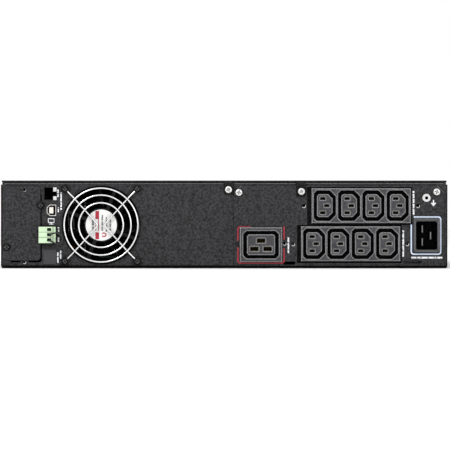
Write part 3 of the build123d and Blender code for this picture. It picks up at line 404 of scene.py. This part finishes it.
def stroke(path, width):
    """Quads that give a path this width."""
    sides = []
    for k, point in enumerate(path):
        ahead = Vector(path[min(k + 1, len(path) - 1)]) - Vector(path[max(k - 1, 0)])
        side = Vector((-ahead.y, ahead.x)).normalized() * width / 2
        sides.append((Vector(point) + side, Vector(point) - side))
    return [[tuple(p) for p in (a[1], b[1], b[0], a[0])] for a, b in zip(sides, sides[1:])]


def on_rear(shapes, y):
    return [[at(u, v, y) for u, v in shape] for shape in shapes]


def caption(u, v0, v1, height, seed):
    """A column of small blocks in place of a line of lettering that reads upwards."""
    rng = random.Random(seed)
    shapes, v = [], v0
    while v < v1 - MARK_LENGTHS[0]:
        for _ in range(rng.randint(2, 6)):
            length = rng.uniform(*MARK_LENGTHS)
            if v + length > v1:
                break
            low = u - height / 2 + rng.choice((0, 0, 0, 0.25)) * height
            shapes.append(bar(low, u + height / 2, v, v + length))
            v += length + MARK_GAP
        v += WORD_GAP
    return shapes


def row_caption(u0, u1, v, height, seed):
    """The same kind of blocks for a line that reads to the right."""
    column = caption(v, u0, u1, height, seed)
    return [[(b, a) for a, b in reversed(shape)] for shape in column]


# --- Rear wall printing --------------------------------------------------------------------

def print_rear(inks):
    left, right, low, high = 234.1, 279.6, 5.0, 40.75
    outline = []
    for path in ([(246.5, high), (left, high), (left, 27.2)],
                 [(left, 20.4), (left, low), (right, low), (right, 19.6)]):
        outline += stroke(rounded(path, OUTLINE_CORNER), OUTLET_OUTLINE_WIDTH)
    outline += stroke([(right, 28.2), (right, 41.2)], OUTLET_OUTLINE_WIDTH)
    add_piece("outlet_16a_outline", on_rear(outline, PLATE + INK), inks["red"],
              "case")

    left, right, low, high = 405.2, 434.2, 13.8, 50.4
    path = [(left, 43.0), (left, low), (right, low), (right, high), (407.6, high)]
    ring = stroke(rounded(path, OUTLINE_CORNER), INLET_OUTLINE_WIDTH)
    add_piece("inlet_outline", on_rear(ring, PLATE + INK), inks["blue_white"],
              "case")

    ports = caption(56.3, 70.3, 78.1, 1.5, 1) + caption(59.4, 57.5, 75.3, 1.5, 2)
    ports += caption(56.6, 55.4, 60.4, 1.4, 3) + caption(56.8, 35.6, 40.6, 1.5, 4)
    ports += caption(56.8, 25.9, 30.8, 1.5, 5) + caption(56.2, 5.0, 16.4, 1.5, 6)
    ports += caption(58.9, 9.2, 17.6, 1.4, 7)
    add_piece("port_captions", on_rear(ports, PANEL + INK), inks["white"], "case")

    outlets = caption(283.8, 14.8, 31.1, 1.7, 8) + caption(397.2, 11.4, 37.3, 1.7, 9)
    outlets += caption(407.4, 52.7, 76.2, 1.7, 10) + row_caption(405.2, 436.4, 10.3, 1.8, 11)
    add_piece("outlet_captions", on_rear(outlets, PLATE + INK), inks["white"],
              "case")

    screen = stroke([(46.8, 45.0), (46.8, 48.8), (52.5, 48.8), (52.5, 45.0), (46.6, 45.0)], 0.75)
    stand = [bar(49.1, 50.2, 43.9, 44.8), bar(47.6, 51.7, 43.1, 43.8)]
    add_piece("port_icon", on_rear(screen + stand, PANEL + INK), inks["white"],
              "case")

    u = 427.1
    earth = [bar(u - 0.5, u + 0.5, 64.4, 67.3)]
    earth += [bar(u - half, u + half, v, v + 0.8)
              for half, v in ((2.5, 63.6), (1.6, 62.5), (0.7, 61.4))]
    add_piece("ground_symbol", on_rear(earth, PLATE + INK), inks["white"], "case")


def add_painted_edge_highlights(material):
    """Painted highlights: lighter strips along the top fold, between the cover's tabs, and on the
    plate's two cut corners, where those edges catch the light."""
    faces = on_rear([bar(u0, u1, 83.1, 83.95) for u0, u1 in
                     ((3.0, 220.0), (230.0, 291.6), (301.3, 438.0))], PANEL + INK)
    cuts = stroke([(230.6, 74.7), (237.3, 81.4)], 0.55)
    cuts += stroke([(430.6, 81.4), (437.3, 74.7)], 0.7)
    add_piece("painted_edge_highlights", faces + on_rear(cuts, PLATE + INK), material, "case")


def add_lit_hole_rims(material):
    """The bare metal lower edge of each clip and nut hole, drawn only where it catches the light,
    so its bright crescent is partly a painted highlight.
    """
    faces = []
    for u, v, radius, y in RIMMED_HOLES:
        r = radius - RIM_INSET
        arc = [(u + r * cos(radians(d)), v + r * sin(radians(d))) for d in range(-150, 31, 15)]
        faces += on_rear(stroke(arc, RIM_WIDTH), y - RIM_DEPTH)
    add_piece("lit_hole_rims", faces, material, "case")


def print_fan_label(inks):
    low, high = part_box("fan_label")
    centre = (low + high) * 500
    u, v, y = HALF_WIDTH - centre.x, centre.z, high.y * 1000 + INK
    stripe = [bar(u - 5.8, u - 2.1, v + 5.9, v + 14.0), bar(u - 5.8, u - 2.1, v - 14.0, v - 7.2)]
    stripe += [bar(u - 3.1, u - 2.3, v - 6.2, v + 5.8), bar(u - 5.7, u - 5.0, v - 5.6, v - 0.6)]
    stripe += stroke([(u + 2.6 + 2.0 * cos(a), v - 9.6 + 1.8 * sin(a)) for a in
                      [radians(d) for d in range(-150, 151, 25)]], 1.1)
    add_piece("fan_label_red", on_rear(stripe, y), inks["red"], "case")
    marks = caption(u - 8.3, v - 6.5, v + 6.8, 2.0, 12)
    marks += caption(u + 1.0, v - 5.5, v + 10.5, 1.6, 13)
    marks += caption(u + 5.0, v - 6.5, v + 8.5, 1.3, 14)
    marks += caption(u + 9.0, v - 5.5, v + 6.0, 1.7, 15)
    add_piece("fan_label_marks", on_rear(marks, y), inks["grey"], "case")


# --- Front printing ------------------------------------------------------------------------

def print_front(inks):
    """Display graphics, key symbols and the power symbol, drawn as seen from the front."""
    def on_front(shapes, centre, y):
        return [[Vector((centre.x + a / 1000, y, centre.z + b / 1000)) for a, b in shape]
                for shape in shapes]

    low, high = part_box("display_lens")
    centre, y = (low + high) / 2, low.y - INK / 1000
    cell = stroke([(-24, 4), (-24, 14), (-6, 14), (-6, 4), (-24.3, 4)], 0.7)
    cell += [bar(-5.6, -4.4, 7, 11)]
    level = [bar(-22.8 + 4 * k, -19.8 + 4 * k, 5.4, 12.6) for k in range(4)]
    graph = [bar(4 + 3.2 * k, 6.2 + 3.2 * k, 4, 4 + h) for k, h in enumerate((3, 5, 7, 9, 10, 8))]
    line = [bar(-25, 25, -0.4, 0.2)]
    words = row_caption(-24, 24, -5.5, 2.6, 16) + row_caption(-24, 12, -11.5, 2.6, 17)
    shown = on_front(cell + level + graph + line + words, centre, y)
    add_piece("display_graphics", shown, inks["lit"], "display")

    half = 1.7
    cross = stroke([(-half, -half), (half, half)], SYMBOL_WIDTH)
    cross += stroke([(-half, half), (half, -half)], SYMBOL_WIDTH)
    ring = [(POWER_RING_R * sin(radians(d)), POWER_RING_R * cos(radians(d)))
            for d in range(40, 321, 20)]
    symbols = {
        "key_up": [[(-2.2, -1.4), (2.2, -1.4), (0, 2.0)]],
        "key_down": [[(-2.2, 1.4), (0, -2.0), (2.2, 1.4)]],
        "key_enter": stroke([(-2.2, 0.2), (-0.6, -1.6), (2.2, 1.8)], SYMBOL_WIDTH),
        "key_escape": cross,
        "power_button": stroke(ring, 0.6) + [bar(-0.3, 0.3, 0.4, 2.9)],
    }
    for node, shapes in symbols.items():
        low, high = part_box(node)
        drawn = on_front(shapes, (low + high) / 2, low.y - INK / 1000)
        add_piece(node + "_symbol", drawn, inks["white"], node)


# --- Wire and contacts ---------------------------------------------------------------------

def add_wire(material):
    curve = bpy.data.curves.new("jumper_loop", "CURVE")
    curve.dimensions = "3D"
    curve.bevel_depth = WIRE_D / 2
    curve.bevel_resolution = 5
    curve.resolution_u = 10
    spline = curve.splines.new("NURBS")
    spline.points.add(len(WIRE_ROUTE) - 1)
    for point, (u, v, y) in zip(spline.points, WIRE_ROUTE):
        point.co = (*at(u, v, y), 1.0)
    spline.order_u = 3
    spline.use_endpoint_u = True
    curve.materials.append(material)
    wire = bpy.data.objects.new("jumper_loop", curve)
    bpy.context.scene.collection.objects.link(wire)
    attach(wire, "control_plug")
    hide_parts("jumper_wire")


def strip(path, width, thickness):
    """A bent strip: quads around a path of (u, v, y) points that lies at one height v."""
    rings = []
    for k, point in enumerate(path):
        before, after = path[max(k - 1, 0)], path[min(k + 1, len(path) - 1)]
        angle = atan2(after[2] - before[2], after[0] - before[0]) + pi / 2
        across = Vector((cos(angle), 0, sin(angle))) * thickness / 2
        rings.append([Vector(point) + across * a + Vector((0, width / 2 * b, 0))
                      for a, b in ((1, 1), (1, -1), (-1, -1), (-1, 1))])
    faces = [rings[0][::-1], rings[-1]]
    for first, second in zip(rings, rings[1:]):
        for k in range(4):
            j = (k + 1) % 4
            faces.append([first[k], first[j], second[j], second[k]])
    return [[at(*corner) for corner in face] for face in faces]


def add_jack_contacts(material):
    """Eight spring contacts along the left wall of the jack."""
    faces = []
    for k in range(CONTACT_COUNT):
        v = JACK_V + (k - (CONTACT_COUNT - 1) / 2) * CONTACT_PITCH
        faces += strip([(u, v, y) for u, y in CONTACT_PATH], CONTACT_WIDTH, CONTACT_THICKNESS)
    add_piece("jack_contacts", faces, material, "case")


# --- Assembly ------------------------------------------------------------------------------

def add_floor():
    corners = [Vector((x * FLOOR_HALF, y * FLOOR_HALF, FLOOR_Z))
               for x, y in ((-1, -1), (1, -1), (1, 1), (-1, 1))]
    mesh = bpy.data.meshes.new("floor")
    mesh.from_pydata(corners, [], [range(4)])
    mesh.materials.append(plastic("floor_paper", (0.93, 0.93, 0.93), 0.8, wear=0.0, grain=0.01,
                                  smudge=0.01, bump=0.0))
    floor = bpy.data.objects.new("floor", mesh)
    bpy.context.scene.collection.objects.link(floor)


set_camera(CAMERA_PLACE, CAMERA_LENS)
set_studio()
add_floor()

finishes = make_finishes()
for subpart in frame["record"]["subparts"]:
    mesh = frame["nodes"][subpart["node"]].data
    mesh.materials.clear()
    name = NODE_FINISHES.get(subpart["node"], subpart["material_slot"])
    mesh.materials.append(finishes[name])

inks = make_inks()
add_wire(finishes["wire_sleeve"])
print_rear(inks)
add_painted_edge_highlights(inks["worn"])
add_lit_hole_rims(finishes["bright_screw"])
print_fan_label(inks)
print_front(inks)
add_jack_contacts(finishes["brass"])
